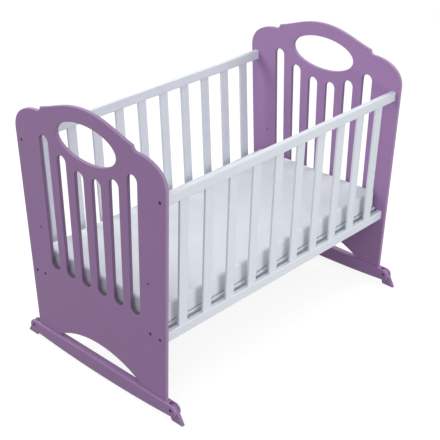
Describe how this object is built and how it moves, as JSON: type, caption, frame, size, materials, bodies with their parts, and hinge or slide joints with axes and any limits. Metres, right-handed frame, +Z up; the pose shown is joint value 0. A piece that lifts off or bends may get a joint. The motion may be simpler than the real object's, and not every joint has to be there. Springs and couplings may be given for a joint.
{
  "type": "crib",
  "caption": "Low rocking crib with shaped purple end panels on rockers, fold-down stoppers, white slatted sides, a slatted base and a mattress.",
  "frame": {"origin": "on the floor under the middle of the crib", "axes": "+X along the bed from the left end to the right end, +Y across it from the front to the back, +Z up"},
  "size_m": [1.048, 0.71, 0.8665],
  "materials": {
    "purple_paint": "smooth satin paint on board",
    "white_paint": "smooth satin paint on solid wood",
    "dark_steel": "dark plated screws with a hexagon socket",
    "mattress_cloth": "plain white woven cotton over foam"
  },
  "bodies": {
    "crib_frame": {"left_end_panel": "purple_paint", "right_end_panel": "purple_paint", "left_rocker": "purple_paint", "right_rocker": "purple_paint", "pivot_bolt_front_left": "dark_steel", "pivot_bolt_front_right": "dark_steel", "pivot_bolt_back_left": "dark_steel", "pivot_bolt_back_right": "dark_steel", "front_top_rail": "white_paint", "front_bottom_rail": "white_paint", "front_slat_1": "white_paint", "front_slat_2": "white_paint", "front_slat_3": "white_paint", "front_slat_4": "white_paint", "front_slat_5": "white_paint", "front_slat_6": "white_paint", "front_slat_7": "white_paint", "front_slat_8": "white_paint", "front_slat_9": "white_paint", "front_slat_10": "white_paint", "back_top_rail": "white_paint", "back_bottom_rail": "white_paint", "back_slat_1": "white_paint", "back_slat_2": "white_paint", "back_slat_3": "white_paint", "back_slat_4": "white_paint", "back_slat_5": "white_paint", "back_slat_6": "white_paint", "back_slat_7": "white_paint", "back_slat_8": "white_paint", "back_slat_9": "white_paint", "back_slat_10": "white_paint", "rail_screw_front_top_left": "dark_steel", "rail_screw_front_top_right": "dark_steel", "rail_screw_front_bottom_left": "dark_steel", "rail_screw_front_bottom_right": "dark_steel", "rail_screw_back_top_left": "dark_steel", "rail_screw_back_top_right": "dark_steel", "rail_screw_back_bottom_left": "dark_steel", "rail_screw_back_bottom_right": "dark_steel", "base_front_rail": "white_paint", "base_back_rail": "white_paint", "base_left_rail": "white_paint", "base_right_rail": "white_paint", "base_slat_1": "white_paint", "base_slat_2": "white_paint", "base_slat_3": "white_paint", "base_slat_4": "white_paint", "base_slat_5": "white_paint", "base_slat_6": "white_paint", "base_screw_front_left": "dark_steel", "base_screw_front_right": "dark_steel", "base_screw_back_left": "dark_steel", "base_screw_back_right": "dark_steel"},
    "stopper_front_left": {"stopper_front_left": "purple_paint"},
    "stopper_front_right": {"stopper_front_right": "purple_paint"},
    "stopper_back_left": {"stopper_back_left": "purple_paint"},
    "stopper_back_right": {"stopper_back_right": "purple_paint"},
    "mattress": {"mattress": "mattress_cloth"}
  },
  "joints": [
    {"name": "stopper_front_left_pivot", "type": "hinge", "parent": "crib_frame", "child": "stopper_front_left", "pos_m": [-0.511, -0.3145, 0.0395], "axis": [-1, 0, 0], "range_deg": [0, 150]},
    {"name": "stopper_front_right_pivot", "type": "hinge", "parent": "crib_frame", "child": "stopper_front_right", "pos_m": [0.511, -0.3145, 0.0395], "axis": [-1, 0, 0], "range_deg": [0, 150]},
    {"name": "stopper_back_left_pivot", "type": "hinge", "parent": "crib_frame", "child": "stopper_back_left", "pos_m": [-0.511, 0.3145, 0.0395], "axis": [1, 0, 0], "range_deg": [0, 150]},
    {"name": "stopper_back_right_pivot", "type": "hinge", "parent": "crib_frame", "child": "stopper_back_right", "pos_m": [0.511, 0.3145, 0.0395], "axis": [1, 0, 0], "range_deg": [0, 150]},
    {"name": "mattress_lift", "type": "slide", "parent": "crib_frame", "child": "mattress", "axis": [0, 0, 1], "range_m": [0, 0.59]}
  ]
}
